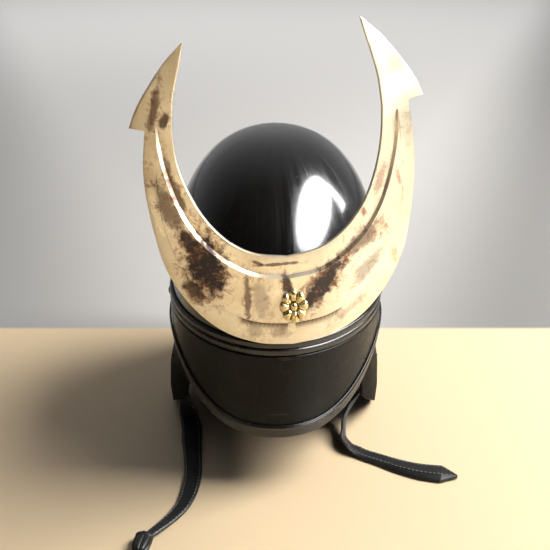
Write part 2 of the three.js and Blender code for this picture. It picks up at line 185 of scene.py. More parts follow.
KNOT = {
    "at": Vector((-102.4, -190, 5.55)),
    "heading": (-0.12, -0.99, 0),
    "length": 19,
    "half_width": 6.9,
    "half_height": 4.9,
    "folds": 7,
    "fold_depth": 0.1,
    "turn_at": 0.17,
    "turn_radius": 0.82,
    "turn_cord": 0.28,
    "tail": (-111.941, -212.949),
}
# How wide the knot is along its axis, as shares of its length and half width.
KNOT_PROFILE = [
    (0.01, 0.25),
    (0.02, 0.6),
    (0.12, 0.88),
    (0.3, 0.98),
    (0.6, 1),
    (0.82, 0.92),
    (0.96, 0.7),
    (1, 0.4),
]


# ---- small helpers ----


def metres(point):
    return MIDDLE + Vector(point) * MM


def mix(a, b, share):
    return a + (b - a) * share


def ease(value, low=0.0, high=1.0):
    t = min(1, max(0, (value - low) / (high - low)))
    return t * t * (3 - 2 * t)


def look_up(table, at, column):
    """Straight lines between the rows of a table whose first column rises."""
    i = 1
    while i < len(table) - 1 and table[i][0] < at:
        i += 1
    low, high = table[i - 1], table[i]
    share = min(1, max(0, (at - low[0]) / (high[0] - low[0])))
    return mix(low[column], high[column], share)


def catmull(p0, p1, p2, p3, t):
    """A point of the centripetal Catmull-Rom curve between p1 and p2."""
    steps = [max((b - a).length, 1e-4) ** 0.5 for a, b in ((p0, p1), (p1, p2), (p2, p3))]
    m1 = ((p1 - p0) / steps[0] - (p2 - p0) / (steps[0] + steps[1]) + (p2 - p1) / steps[1]) * steps[1]
    m2 = ((p2 - p1) / steps[1] - (p3 - p1) / (steps[1] + steps[2]) + (p3 - p2) / steps[2]) * steps[1]
    cubic = (p1 - p2) * 2 + m1 + m2
    square = (p2 - p1) * 3 - m1 * 2 - m2
    return ((cubic * t + square) * t + m1) * t + p1


def curve(points, u):
    """A point of the smooth curve through points, at u from 0 to 1."""
    last = len(points) - 1
    at = min(max(u, 0), 1) * last
    i = min(last - 1, int(at))
    before = points[i - 1] if i > 0 else points[0] * 2 - points[1]
    after = points[i + 2] if i + 2 <= last else points[last] * 2 - points[last - 1]
    return catmull(before, points[i], points[i + 1], after, at - i)


def spaced(points, steps):
    """Points at equal distances along the smooth curve through points."""
    last = 400
    fine = [curve(points, i / last) for i in range(last + 1)]
    lengths = [0.0]
    for a, b in zip(fine, fine[1:]):
        lengths.append(lengths[-1] + (b - a).length)
    found = []
    i = 0
    for step in range(steps + 1):
        want = lengths[-1] * step / steps
        while i < last - 1 and lengths[i + 1] < want:
            i += 1
        share = (want - lengths[i]) / (lengths[i + 1] - lengths[i])
        found.append(fine[i].lerp(fine[i + 1], share))
    return found


# ---- making meshes ----


def skin(rings, ends=True, closed=False):
    """Points and faces of a surface through closed rings of equal count."""
    count = len(rings[0])
    points = [point for ring in rings for point in ring]
    faces = []
    last = len(rings) if closed else len(rings) - 1
    for i in range(last):
        low = i * count
        high = ((i + 1) % len(rings)) * count
        for k in range(count):
            after = (k + 1) % count
            faces.append((low + k, low + after, high + after, high + k))
    if ends and not closed:
        faces.append(tuple(range(count)))
        faces.append(tuple(range(len(points) - count, len(points))))
    return points, faces


def together(parts):
    """One list of points and one of faces from several."""
    points, faces = [], []
    for some_points, some_faces in parts:
        start = len(points)
        points += some_points
        faces += [tuple(start + i for i in face) for face in some_faces]
    return points, faces


def shaped(name, points, faces, crease=38):
    """An object with a smooth-shaded closed mesh whose faces point out."""
    mesh = bpy.data.meshes.new(name)
    mesh.from_pydata([metres(point) for point in points], [], faces)
    work = bmesh.new()
    work.from_mesh(mesh)
    bmesh.ops.recalc_face_normals(work, faces=work.faces)
    work.to_mesh(mesh)
    work.free()
    mesh.polygons.foreach_set("use_smooth", [True] * len(mesh.polygons))
    mesh.set_sharp_from_angle(angle=math.radians(crease))
    piece = bpy.data.objects.new(name, mesh)
    bpy.context.scene.collection.objects.link(piece)
    return piece


def dressed(piece, material, slot, *nodes):
    """The piece gets its material, rides on the helmet and stands for its CAD nodes."""
    piece.data.materials.clear()
    piece.data.materials.append(material)
    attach(piece, "root")
    if nodes:
        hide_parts(*nodes)
    return piece


def joined(name, first, second):
    """One object from two overlapping ones."""
    union = first.modifiers.new("union", "BOOLEAN")
    union.operation = "UNION"
    union.solver = "EXACT"
    union.object = second
    bpy.context.view_layer.update()
    evaluated = first.evaluated_get(bpy.context.evaluated_depsgraph_get())
    mesh = bpy.data.meshes.new_from_object(evaluated)
    mesh.polygons.foreach_set("use_smooth", [True] * len(mesh.polygons))
    mesh.set_sharp_from_angle(angle=math.radians(32))
    bpy.data.objects.remove(first)
    bpy.data.objects.remove(second)
    piece = bpy.data.objects.new(name, mesh)
    bpy.context.scene.collection.objects.link(piece)
    return piece


def section(width, thick, edge, rows, bend=4):
    """(v, w) round a strip's section with rounded edges.

    v runs from 0 to 1 across it, and w from its back to its face.
    """
    ring = [(mix(edge, width - edge, i / rows), thick) for i in range(rows + 1)]
    corners = [(width - edge, thick - edge, 90), (width - edge, edge, 0)]
    for x, y, start in corners:
        for i in range(1, bend + 1):
            angle = math.radians(start - 90 * i / bend)
            ring.append((x + edge * math.cos(angle), y + edge * math.sin(angle)))
    ring += [(mix(width - edge, edge, i / rows), 0) for i in range(1, rows + 1)]
    corners = [(edge, edge, 270), (edge, thick - edge, 180)]
    for x, y, start in corners:
        for i in range(1, bend + 1):
            angle = math.radians(start - 90 * i / bend)
            ring.append((x + edge * math.cos(angle), y + edge * math.sin(angle)))
    ring.pop()
    return [(x / width, y / thick) for x, y in ring]


def seat(surface, u, v):
    """The frame of a small piece that sits on surface(u, v): Z out of it, X along u."""
    at = surface(u, v)
    along = (surface(u + 0.5, v) - at).normalized()
    out = along.cross(surface(u, v + 0.5) - at).normalized()
    up = out.cross(along)
    return Matrix.Translation(at) @ Matrix((along, up, out)).transposed().to_4x4()


def turned(profile, sides, stretch=(1, 1)):
    """A skin round +Z through rows of (radius, height)."""
    rings = []
    for radius, height in profile:
        ring = []
        for i in range(sides):
            angle = TURN * i / sides
            x = radius * math.cos(angle) * stretch[0]
            ring.append(Vector((x, radius * math.sin(angle) * stretch[1], height)))
        rings.append(ring)
    return skin(rings)


# ---- the shell of the helmet ----


def bowl_shrink(z):
    up = max(0, z - BOWL["brow_z"]) / BOWL["height"]
    return (1 - up ** BOWL["fullness"]) ** (1 / BOWL["fullness"])


def around(angle, z, out, ahead=0.0):
    """A point at an angle round the head, 0 at the front, out of the bowl's ellipse at this height."""
    shrink = bowl_shrink(z)
    x = (HALF_WIDTH * shrink + out) * math.sin(angle)
    y = -(HALF_LENGTH * shrink + out + ahead) * math.cos(angle)
    return Vector((x, y, z))


def bowl():
    steps = 64
    power = 2 / BOWL["fullness"]

    def meridian(inset):
        rows = []
        for i in range(steps):
            t = i / steps * math.pi / 2
            radius = (HALF_WIDTH - inset) * math.cos(t) ** power
            height = BOWL["brow_z"] + (BOWL["height"] - inset) * math.sin(t) ** power
            rows.append((radius, height))
        return rows

    lip = BOWL["lip"]
    wall = BOWL["wall"]
    low = BOWL["rim_z"]
    edge = []
    for i in range(7):
        angle = math.pi * i / 6
        edge.append((HALF_WIDTH - wall / 2 - wall / 2 * math.cos(angle), low + lip - lip * math.sin(angle)))
    profile = meridian(wall)[::-1] + edge + meridian(0)
    return turned(profile, 160, (1, HALF_LENGTH / HALF_WIDTH))


def peak_low_z(angle):
    side = math.sin(min(abs(angle), math.pi / 2))
    return PEAK["low_z"] + PEAK["rise"] * side ** PEAK["rise_bend"]


def peak_ahead(z):
    down = max(0, PEAK["top_z"] - z) / (PEAK["top_z"] - PEAK["low_z"])
    return PEAK["flare"] * down**1.2


def band(columns, start, end, place, ring):
    """A strip round the head between two angles in degrees, with the section that ring gives."""
    rings = []
    for i in range(columns + 1):
        angle = math.radians(mix(start, end, i / columns))
        rings.append([place(angle, v, w) for v, w in ring])
    return skin(rings)


def peak():
    reach = PEAK["reach"]

    def place(angle, v, w):
        z = mix(peak_low_z(angle), PEAK["top_z"], v)
        return around(angle, z, GAP + w * PEAK["wall"], peak_ahead(z))

    ring = section(PEAK["top_z"] - PEAK["low_z"], PEAK["wall"], 1.1, 22)
    return band(150, -reach, reach, place, ring)


def peak_rim():
    reach = PEAK["reach"]

    def place(angle, v, w):
        width = mix(RIM["width"], RIM["end_width"], abs(math.sin(angle)) ** RIM["narrowing"])
        z = peak_low_z(angle) - RIM["below"] + v * width
        ridge = RIM["ridge"] * math.exp(-(((v - 0.78) / 0.11) ** 2))
        return around(angle, z, 2 * GAP + PEAK["wall"] + w * (RIM["thick"] + ridge), peak_ahead(z))

    return band(150, -reach, reach, place, section(RIM["width"], RIM["thick"], 0.5, 24))


def brow_bead():
    reach = PEAK["reach"]

    def place(angle, v, w):
        z = mix(BEAD["low_z"], BEAD["top_z"], v)
        across = 2 * ((v * BEAD["ridges"]) % 1) - 1
        ridge = BEAD["ridge"] * math.sqrt(max(0, 1 - across * across))
        return around(angle, z, GAP + w * (BEAD["base"] + ridge))

    return band(150, -reach, reach, place, section(BEAD["top_z"] - BEAD["low_z"], BEAD["base"], 0.3, 32))


def neck_guard():
    def place(angle, v, w):
        degrees = math.degrees(angle)
        from_end = min(degrees - GUARD["from"], GUARD["to"] - degrees) / GUARD["corner_turn"]
        corner = GUARD["corner_z"] * max(0, 1 - from_end) ** 2
        z = mix(corner, GUARD["top_z"], v)
        down = (1 - z / GUARD["top_z"]) ** 1.3
        ahead = (GUARD["back_flare"] - GUARD["side_flare"]) * down
        return around(angle, z, GAP + w * GUARD["wall"] + GUARD["side_flare"] * down, ahead)

    return band(130, GUARD["from"], GUARD["to"], place, section(GUARD["top_z"], GUARD["wall"], 1.1, 26))


def flap_face(side, y, z):
    half_width = look_up(FLAP_PROFILE, z, 2 if side > 0 else 1)
    return Vector((side * half_width * math.sqrt(1 - (y / FLAP["half_length"]) ** 2), y, z))


def ear_flap(side):
    ring = section(FLAP["top_z"], FLAP["wall"], 1.2, 40)
    columns = 48
    rings = []
    for i in range(columns + 1):
        y = mix(FLAP["front_y"], FLAP["rear_y"], i / columns)
        low = look_up(FLAP_EDGE, y, 1)
        row = []
        for v, w in ring:
            point = flap_face(side, y, mix(low, FLAP["top_z"], v))
            point.x -= side * (1 - w) * FLAP["wall"]
            row.append(point)
        rings.append(row)
    return skin(rings)


# ---- the crest ----


def on_crest(u, v, w):
    """A point of the crest: u across, v up, w out of the middle of its plate."""
    roll = CREST["roll"]
    across = u * math.cos(roll) - v * math.sin(roll)
    up = u * math.sin(roll) + v * math.cos(roll)
    bend = CREST["bend"]
    bent = across / bend
    back = bend - (bend + w) * math.cos(bent) + up * math.sin(CREST["lean"])
    point = Vector(((bend + w) * math.sin(bent), back, up * math.cos(CREST["lean"]))) + CREST["base"]
    return Matrix.Rotation(CREST["turn"], 3, "Z") @ point


def crest_edge(name, steps):
    return spaced([Vector((u, v, 0)) for u, v in CREST_EDGES[name]], steps)


def rungs(outer, inner):
    """Pairs of points from one horn's tip through the middle to the other's."""
    right = list(zip(outer, inner))
    left = [(Vector((-a.x, a.y, 0)), Vector((-b.x, b.y, 0))) for a, b in right[1:]]
    return left[::-1] + right


def horn(point):
    lift = CREST["horn_lift"] * ease(point.y, 110, 170)
    return Vector((point.x, point.y + math.copysign(lift, point.x), 0))


def crest_plate():
    outer = crest_edge("outer", 64) + crest_edge("head_outer", 20)
    inner = crest_edge("inner", 64) + crest_edge("head_inner", 20)
    half = CREST["thick"] / 2
    rings = []
    for low, high in rungs(outer, inner):
        low, high = horn(low), horn(high)
        width = max((high - low).length, 1.3)
        edge = min(CREST["edge"], width * 0.3)
        ring = []
        for v, w in section(width, CREST["thick"], edge, 12, 3):
            point = low.lerp(high, v)
            ring.append(on_crest(point.x, point.y, (w * 2 - 1) * half))
        rings.append(ring)
    return skin(rings)


def crest_field():
    ladder = rungs(crest_edge("field_outer", 64), crest_edge("field_inner", 64))
    face = CREST["thick"] / 2
    top = face + CREST["field"]
    rows = 10
    rings = []
    for low, high in ladder:
        width = (high - low).length
        outer = min(0.3, CREST["outer_bevel"] / width)
        inner = min(0.55, CREST["inner_bevel"] / width)
        front = [(0, face - GAP), (outer * 0.2, face + CREST["field"] * 0.5), (outer, top)]
        front += [(mix(outer, 1 - inner, i / rows), top) for i in range(1, rows)]
        front += [(1 - inner, top), (1, face - GAP)]
        back = [(mix(1, 0, i / 6), -0.2) for i in range(7)]
        ring = []
        for share, w in front + back:
            point = low.lerp(high, share)
            ring.append(on_crest(point.x, point.y, w))
        rings.append(ring)
    return skin(rings)


def rosette():
    """Rounded petals round a bead, as one domed surface over a polar grid."""
    petals = ROSETTE["petals"]
    count = 24 * petals
    face = CREST["thick"] / 2 + CREST["field"] + GAP
    frame_here = seat(lambda u, v: on_crest(u, v, face), ROSETTE["u"], ROSETTE["v"])

    def height(share, angle):
        lobe = abs(math.cos(angle * petals / 2))
        if share < 0.25:
            return 1.7 + 1.9 * math.sqrt(max(0, 1 - (share / 0.25) ** 2))
        ring = max(0, 1 - ((share - 0.66) / 0.36) ** 2)
        return 0.9 + 2.3 * math.sqrt(ring) * max(0, 1 - (1 - lobe) ** 2 * 1.05) ** 0.8

    rings = []
    back = [(share, 0) for share in (0.02, 0.5, 0.97)]
    rim = [(1.0, 0.4), (0.99, 0.8)]
    front = [(share / 40, None) for share in range(39, 0, -1)]
    for share, flat in back + rim + front:
        ring = []
        for k in range(count):
            angle = TURN * k / count
            scallop = 0.84 + 0.16 * abs(math.cos(angle * petals / 2)) ** 0.7
            x = ROSETTE["half_width"] * share * math.sin(angle) * mix(1, scallop, ease(share, 0.2, 0.8))
            y = ROSETTE["half_height"] * share * math.cos(angle) * mix(1, scallop, ease(share, 0.2, 0.8))
            z = height(share, angle) if flat is None else flat
            ring.append(frame_here @ Vector((x, y, z)))
        rings.append(ring)
    return skin(rings)


# ---- fasteners and straps ----


def dome(radius, rise):
    """A domed head with a thin flange."""
    profile = [(radius * 0.05, 0), (radius * 0.96, 0), (radius, rise * 0.06), (radius * 0.98, rise * 0.13)]
    profile.append((radius * 0.88, rise * 0.17))
    for i in range(12):
        t = i / 12 * math.pi / 2
        profile.append((radius * 0.84 * math.cos(t), rise * (0.18 + 0.82 * math.sin(t))))
    return turned(profile, 40)


def stud(side):
    out = 2.5 * GAP + PEAK["wall"]

    def face(y, z):
        along = side * y / (HALF_LENGTH + out)
        return Vector((side * (HALF_WIDTH + out) * math.sqrt(1 - along * along), side * y, z))

    points, faces = dome(STUD["radius"], STUD["rise"])
    placed = seat(face, side * STUD["y"], STUD["z"])
    return [placed @ point for point in points], faces


def flap_rivet(side):
    points, faces = dome(RIVET["radius"], RIVET["rise"])

    def face(y, z):
        return flap_face(side, side * y, z) + Vector((side * GAP, 0, 0))

    placed = seat(face, side * RIVET["y"], RIVET["z"])
    return [placed @ point for point in points], faces


def strap_frame(rows, u):
    """Middle, width, crease height, and the directions along, across and out of a strap at u."""
    middles = [Vector(row[:3]) for row in rows]
    last = len(rows) - 1
    at = u * last
    i = min(last - 1, int(at))
    share = at - i
    width = mix(rows[i][3], rows[i + 1][3], share)
    ridge = mix(rows[i][4], rows[i + 1][4], share)
    here = Vector(rows[i][5]).normalized()
    after = Vector(rows[i + 1][5]).normalized()
    along = (curve(middles, min(1, u + 1e-4)) - curve(middles, max(0, u - 1e-4))).normalized()
    across = here.lerp(after, ease(share))
    across = (across - along * across.dot(along)).normalized()
    return curve(middles, u), width, ridge, along, across, along.cross(across)


def crease(v, ridge):
    """How far a strap with a crease stands out at v of its width."""
    fold = STRAP["fold"]
    return ridge * min(v / fold, (1 - v) / (1 - fold))


def strap(rows, steps):
    rings = []
    for i in range(steps + 1):
        middle, width, ridge, _, across, out = strap_frame(rows, i / steps)
        ring = []
        for v, w in section(width, STRAP["thick"], min(STRAP["edge"], width * 0.3), 24):
            pad = 0.25 * (1 - (2 * v - 1) ** 4) - 0.25
            welt = STRAP["welt"] * math.exp(-(((min(v, 1 - v) - 0.13) / 0.035) ** 2))
            lift = (w - 0.5) * (STRAP["thick"] + (2 * pad + welt if w > 0.5 else 0)) + crease(v, ridge)
            ring.append(middle + across * ((v - 0.5) * width) + out * lift)
        rings.append(ring)
    return skin(rings)


def stitches(rows, lines, end_share):
    """Lines of short stitches along a strap's face, each at a share of its width."""
    last = 500
    fine = [strap_frame(rows, i / last) for i in range(last + 1)]
    parts = []
    travelled = 0.0
    due = STRAP["pitch"]
    for i in range(1, int(last * end_share)):
        travelled += (fine[i][0] - fine[i - 1][0]).length
        if travelled < due:
            continue
        due += STRAP["pitch"]
        middle, width, ridge, along, across, out = fine[i]
        for v in lines:
            lift = STRAP["thick"] / 2 - 0.05 + crease(v, ridge)
            at = middle + across * (v - 0.5) * width + out * lift
            rings = []
            for share, swell in ((-1, 0.3), (-0.8, 0.8), (0, 1), (0.8, 0.8), (1, 0.3)):
                start = at + along * share * STRAP["stitch"] / 2
                ring = []
                for k in range(8):
                    angle = TURN * k / 8
                    round_it = across * math.cos(angle) * 0.42 + out * math.sin(angle) * 0.34
                    ring.append(start + round_it * swell)
                rings.append(ring)
            parts.append(skin(rings))
    return together(parts)


def knot():
    """The strap gathered into lengthwise folds, with a turn of it round them, and its tail."""
    stretch = KNOT["length"] / KNOT["half_width"]
    folds, depth = KNOT["folds"], KNOT["fold_depth"]
    sides = 112
    profile = spaced([Vector((width, along, 0)) for along, width in KNOT_PROFILE], 40)
    body = []
    for row in profile:
        ring = []
        for k in range(sides):
            angle = TURN * k / sides
            fold = 1 + depth * (2 * abs(math.cos(folds * angle / 2)) ** 0.7 - 1)
            twist = angle + 0.25 * row.y
            radius = row.x * fold
            ring.append(Vector((radius * math.cos(twist), radius * math.sin(twist), row.y * stretch)))
        body.append(ring)

    cord = []
    cord_steps, cord_sides = 72, 20
    for k in range(cord_steps):
        angle = TURN * k / cord_steps
        out = Vector((math.cos(angle), math.sin(angle), 0))
        ring = []
        for m in range(cord_sides):
            turn = TURN * m / cord_sides
            swell = KNOT["turn_cord"] * (1 - 0.12 * math.exp(-((math.sin(turn) / 0.25) ** 2)))
            at = KNOT["turn_at"] * stretch + 0.1 * math.sin(angle) + swell * math.sin(turn)
            ring.append(out * (KNOT["turn_radius"] + swell * math.cos(turn)) + Vector((0, 0, at)))
        cord.append(ring)

    heading = Vector(KNOT["heading"]).normalized()
    up = Vector((0, 0, 1))
    placed = Matrix((up.cross(heading), up, heading)).transposed().to_4x4()
    placed = Matrix.Translation(KNOT["at"]) @ placed
    size = Matrix.Diagonal((KNOT["half_width"], KNOT["half_height"], KNOT["half_width"], 1))
    parts = []
    for points, faces in (skin(body), skin(cord, closed=True)):
        parts.append(([placed @ size @ point for point in points], faces))

    end_x, end_y = KNOT["tail"]
    inside = KNOT["at"] + heading * (KNOT["length"] - 5)
    across = (0.9, -0.4, 0)
    tail = [
        (inside.x, inside.y, 5, 8, 0, across),
        (mix(inside.x, end_x, 0.6), mix(inside.y, end_y, 0.6), 2.197, 9, 0, across),
        (end_x, end_y, 1.6, 8, 0, across),
    ]
    parts.append(strap(tail, 24))
    return together(parts)


# ---- materials ----


class Paint:
    """A node material: a Principled surface and short calls that add and link nodes."""

    def __init__(self, name, **values):
        self.material = bpy.data.materials.new(name)
        self.material.use_nodes = True
        self.nodes = self.material.node_tree.nodes
        self.links = self.material.node_tree.links
        self.surface = self.nodes["Principled BSDF"]
        for socket, value in values.items():
            self.surface.inputs[socket.replace("_", " ")].default_value = value
        self.place = self.nodes.new("ShaderNodeTexCoord").outputs["Object"]

    def link(self, source, target):
        self.links.new(source, target)

    def node(self, kind, output, inputs=(), **settings):
        made = self.nodes.new("ShaderNode" + kind)
        for name, value in settings.items():
            setattr(made, name, value)
        for key, value in dict(inputs).items():
            if isinstance(value, bpy.types.NodeSocket):
                self.link(value, made.inputs[key])
            else:
                made.inputs[key].default_value = value
        return made.outputs[output]

    def math(self, operation, *values):
        return self.node("Math", 0, dict(enumerate(values)), operation=operation)

    def stretched(self, scale=(1, 1, 1), rotation=(0, 0, 0), location=(0, 0, 0), source=None):
        inputs = {"Vector": source or self.place, "Scale": scale, "Rotation": rotation, "Location": location}
        return self.node("Mapping", 0, inputs)

    def noise(self, scale, detail=4, rough=0.55, source=None, distortion=0.0):
        inputs = {"Vector": source or self.place, "Scale": scale, "Detail": detail, "Roughness": rough}
        inputs["Distortion"] = distortion
        return self.node("TexNoise", 0, inputs)

    def ranged(self, value, low, high, to_low=0.0, to_high=1.0, smooth=True):
        inputs = {"Value": value, "From Min": low, "From Max": high, "To Min": to_low, "To Max": to_high}
        kind = "SMOOTHSTEP" if smooth else "LINEAR"
        return self.node("MapRange", 0, inputs, interpolation_type=kind)

    def blended(self, share, first, second, mode="MIX"):
        inputs = {0: share, 6: first, 7: second}
        return self.node("Mix", 2, inputs, data_type="RGBA", blend_type=mode)

    def bump(self, height, distance, strength=1.0, under=None):
        inputs = {"Height": height, "Distance": distance, "Strength": strength}
        if under is not None:
            inputs["Normal"] = under
        return self.node("Bump", 0, inputs)

    def set(self, **sources):
        for socket, source in sources.items():
            self.link(source, self.surface.inputs[socket.replace("_", " ")])
        return self.material


def grey(level, warm=0.0):
    return (level * (1 + warm), level, level * (1 - warm), 1)


def lacquer():
    """Black lacquer over faint brush streaks that run down the bowl."""
    paint = Paint("lacquer", Base_Color=grey(0.012), Roughness=0.2, Coat_Weight=0.5, Coat_Roughness=0.06)
    paint.surface.inputs["Specular IOR Level"].default_value = 0.5
    about = paint.node("VectorMath", 0, {0: paint.place, 1: tuple(-MIDDLE)}, operation="ADD")
    parts = paint.nodes.new("ShaderNodeSeparateXYZ")
    paint.link(about, parts.inputs[0])
    angle = paint.math("ARCTAN2", parts.outputs[0], parts.outputs[1])
    down = paint.node("CombineXYZ", 0, {0: paint.math("MULTIPLY", angle, 1.0), 1: parts.outputs[2]})
    streaks = paint.noise(26, 6, 0.7, paint.stretched((1.6, 0.55, 1), source=down))
    wide = paint.noise(9, 3, 0.5, paint.stretched((1.0, 0.5, 1), source=down))
    specks = paint.noise(420, 2, 0.6)
    dust = paint.ranged(specks, 0.68, 0.76)
    rough = paint.ranged(paint.math("ADD", streaks, wide), 0.75, 1.3, 0.1, 0.3)
    rough = paint.math("ADD", rough, paint.math("MULTIPLY", dust, 0.15))
    waves = paint.bump(wide, 0.0006, 0.25)
    bumps = paint.bump(streaks, 0.00012, 0.5, waves)
    colour = paint.blended(streaks, grey(0.008), grey(0.02))
    return paint.set(Base_Color=colour, Roughness=rough, Normal=bumps)


def leather(name, tone, low, high, gloss, grain=0.00012):
    """Black leather: pebbled grain, soft dents, fine scratches and rubbed patches."""
    paint = Paint(name, Base_Color=grey(tone), Roughness=low, Specular_IOR_Level=gloss)
    cells = paint.node("TexVoronoi", 0, {"Vector": paint.place, "Scale": 700}, feature="SMOOTH_F1")
    dents = paint.noise(60, 4)
    rubbed = paint.noise(22, 5, 0.62)
    across = paint.noise(90, 3, 0.5, paint.stretched((0.12, 1, 1.6), (0.3, 0.2, 0.5)), 0.4)
    scratches = paint.ranged(across, 0.665, 0.69)
    bumps = paint.bump(dents, 0.0009, 0.35)
    bumps = paint.bump(cells, grain, 0.6, bumps)
    bumps = paint.bump(scratches, 0.0001, 0.4, bumps)
    rough = paint.ranged(rubbed, 0.35, 0.68, low, high)
    rough = paint.math("ADD", rough, paint.math("MULTIPLY", scratches, 0.08))
    worn = paint.ranged(rubbed, 0.5, 0.75)
    colour = paint.blended(worn, grey(tone), grey(tone * 1.9))
    colour = paint.blended(paint.math("MULTIPLY", scratches, 0.5), colour, grey(tone * 5))
    return paint.set(Base_Color=colour, Roughness=rough, Normal=bumps)


# Stains of the crest: across and up in millimetres, half sizes, turn in degrees, darkness, kind.
STAINS = [
    (-84, 114, 6.6, 24, 21, 0.7, "brown"),
    (-81, 144, 2.5, 12, 4, 0.6, "brown"),
    (-77, 126, 4.1, 18, 20, 0.8, "brown"),
    (-62, 70, 14, 24, 5, 1.0, "dark"),
    (-70, 86, 6.6, 11, 6, 0.8, "dark"),
    (-72, 49, 5.8, 11, 25, 0.8, "dark"),
    (-32, 44, 2.7, 20, -3, 0.75, "brown"),
    (-22, 42, 6.6, 18, 3, 0.4, "brown"),
    (-2, 52, 3.3, 8, 8, 0.85, "dark"),
    (12, 34, 5, 11, -36, 0.7, "brown"),
    (24, 47, 7.5, 26, -42, 0.95, "dark"),
    (59, 80, 7.5, 23, -56, 0.75, "brown"),
    (62, 57, 5, 15, -41, 0.5, "grey"),
    (85, 59, 2.9, 8, 13, 0.4, "green"),
    (73, 123, 2.9, 11, -18, 0.6, "red"),
    (60, 101, 2.5, 4, 40, 0.6, "red"),
    (88, 122, 1.7, 6, 8, 0.5, "red"),
    (-29, 14, 6, 7, 80, 0.4, "brown"),
    (-9, 11, 5, 8, 78, 0.4, "brown"),
    (47, 24, 3.3, 19, -57, 0.3, "brown"),
    (-85, 188, 3.3, 17, -18, 0.8, "brown"),
    (-79, 178, 2.9, 6, -31, 0.7, "dark"),
    (-90, 174, 3.3, 4, 39, 0.5, "brown"),
    (-9, 68, 1.2, 17, 90, 0.6, "dark"),
    (-22, 70, 1.2, 5, 67, 0.6, "dark"),
]
STAIN_COLOURS = {
    "dark": (0.022, 0.012, 0.011, 1),
    "brown": (0.12, 0.050, 0.022, 1),
    "red": (0.30, 0.11, 0.05, 1),
    "grey": (0.14, 0.12, 0.11, 1),
    "green": (0.36, 0.36, 0.10, 1),
}


def crest_place(paint):
    """The crest's own coordinates in metres: x across, z up."""
    base = Matrix.Rotation(CREST["turn"], 3, "Z") @ CREST["base"]
    moved = paint.node("VectorMath", 0, {0: paint.place, 1: tuple(-metres(base))}, operation="ADD")
    square = paint.stretched(rotation=(0, 0, -CREST["turn"]), source=moved)
    upright = paint.stretched(rotation=(CREST["lean"], 0, 0), source=square)
    return paint.stretched(rotation=(0, CREST["roll"], 0), source=upright)


def ivory_gold():
    """Pale gold gone ivory, with dark patina where STAINS says."""
    paint = Paint("ivory_gold", Base_Color=(0.72, 0.58, 0.34, 1), Metallic=0.8, Roughness=0.34)
    local = crest_place(paint)
    cloud = paint.noise(28, 6, 0.62, local)
    fine = paint.noise(150, 6, 0.68, local)
    grain = paint.noise(900, 3, 0.6, local)
    colour = paint.blended(paint.ranged(cloud, 0.35, 0.7), (0.87, 0.81, 0.66, 1), (0.74, 0.64, 0.46, 1))
    colour = paint.blended(paint.ranged(fine, 0.55, 0.8, 0, 0.45), colour, (0.40, 0.25, 0.12, 1))
    flat = paint.node("VectorMath", 0, {0: local, 1: (1, 0, 1)}, operation="MULTIPLY")
    ragged = paint.math("ADD", paint.math("MULTIPLY", cloud, 0.9), paint.math("MULTIPLY", fine, 2.4))
    rough = paint.ranged(cloud, 0.3, 0.7, 0.26, 0.42)
    pits = zone = None
    for u, v, half_across, half_up, degrees, depth, kind in STAINS:
        moved = paint.node("VectorMath", 0, {0: flat, 1: (-u * MM, 0, -v * MM)}, operation="ADD")
        turned_back = paint.stretched(rotation=(0, math.radians(degrees), 0), source=moved)
        sizes = (1 / (half_across * MM), 0, 1 / (half_up * MM))
        scaled = paint.node("VectorMath", 0, {0: turned_back, 1: sizes}, operation="MULTIPLY")
        away = paint.node("VectorMath", "Value", {0: scaled}, operation="LENGTH")
        torn = paint.math("ADD", away, paint.math("SUBTRACT", ragged, 1.65))
        if kind == "dark":
            halo = paint.ranged(torn, 0.85, 1.4, depth * 0.75, 0)
            colour = paint.blended(halo, colour, STAIN_COLOURS["brown"])
        solid, bare = (0.68, 1.0) if kind == "dark" else (0.45, 1.25)
        mask = paint.ranged(torn, solid, bare, depth, 0)
        colour = paint.blended(mask, colour, STAIN_COLOURS[kind])
        near = paint.ranged(away, 0.9, 2.2, depth, 0)
        zone = near if zone is None else paint.math("MAXIMUM", zone, near)
        pits = mask if pits is None else paint.math("MAXIMUM", pits, mask)
    veins = paint.ranged(paint.noise(120, 9, 0.78, local, 0.6), 0.5, 0.6)
    colour = paint.blended(paint.math("MULTIPLY", veins, zone), colour, (0.20, 0.085, 0.035, 1))
    # Painted shade: concave creases, such as the foot of the raised field, are darkened.
    hollows = paint.ranged(paint.node("NewGeometry", "Pointiness"), 0.45, 0.495, 0.9, 0)
    colour = paint.blended(hollows, colour, (0.07, 0.035, 0.018, 1))
    rough = paint.math("ADD", rough, paint.math("MULTIPLY", pits, 0.18))
    metallic = paint.ranged(pits, 0.0, 1.0, 0.8, 0.3)
    bumps = paint.bump(pits, 0.0003, -0.5)
    bumps = paint.bump(fine, 0.0002, 0.25, bumps)
    bumps = paint.bump(grain, 0.00003, 0.4, bumps)
    return paint.set(Base_Color=colour, Roughness=rough, Metallic=metallic, Normal=bumps)


def antique_gold():
    """Worn gold, dark in its hollows."""
    paint = Paint("antique_gold", Base_Color=(0.5, 0.38, 0.16, 1), Metallic=0.9, Roughness=0.24)
    hollows = paint.node("NewGeometry", "Pointiness")
    dark = paint.ranged(hollows, 0.45, 0.53)
    cloud = paint.noise(300, 5)
    colour = paint.blended(cloud, (0.86, 0.74, 0.44, 1), (0.60, 0.46, 0.20, 1))
    colour = paint.blended(dark, (0.04, 0.028, 0.015, 1), colour)
    bumps = paint.bump(cloud, 0.0002, 0.3)
    rough = paint.ranged(cloud, 0.3, 0.7, 0.16, 0.34)
    return paint.set(Base_Color=colour, Roughness=rough, Normal=bumps)


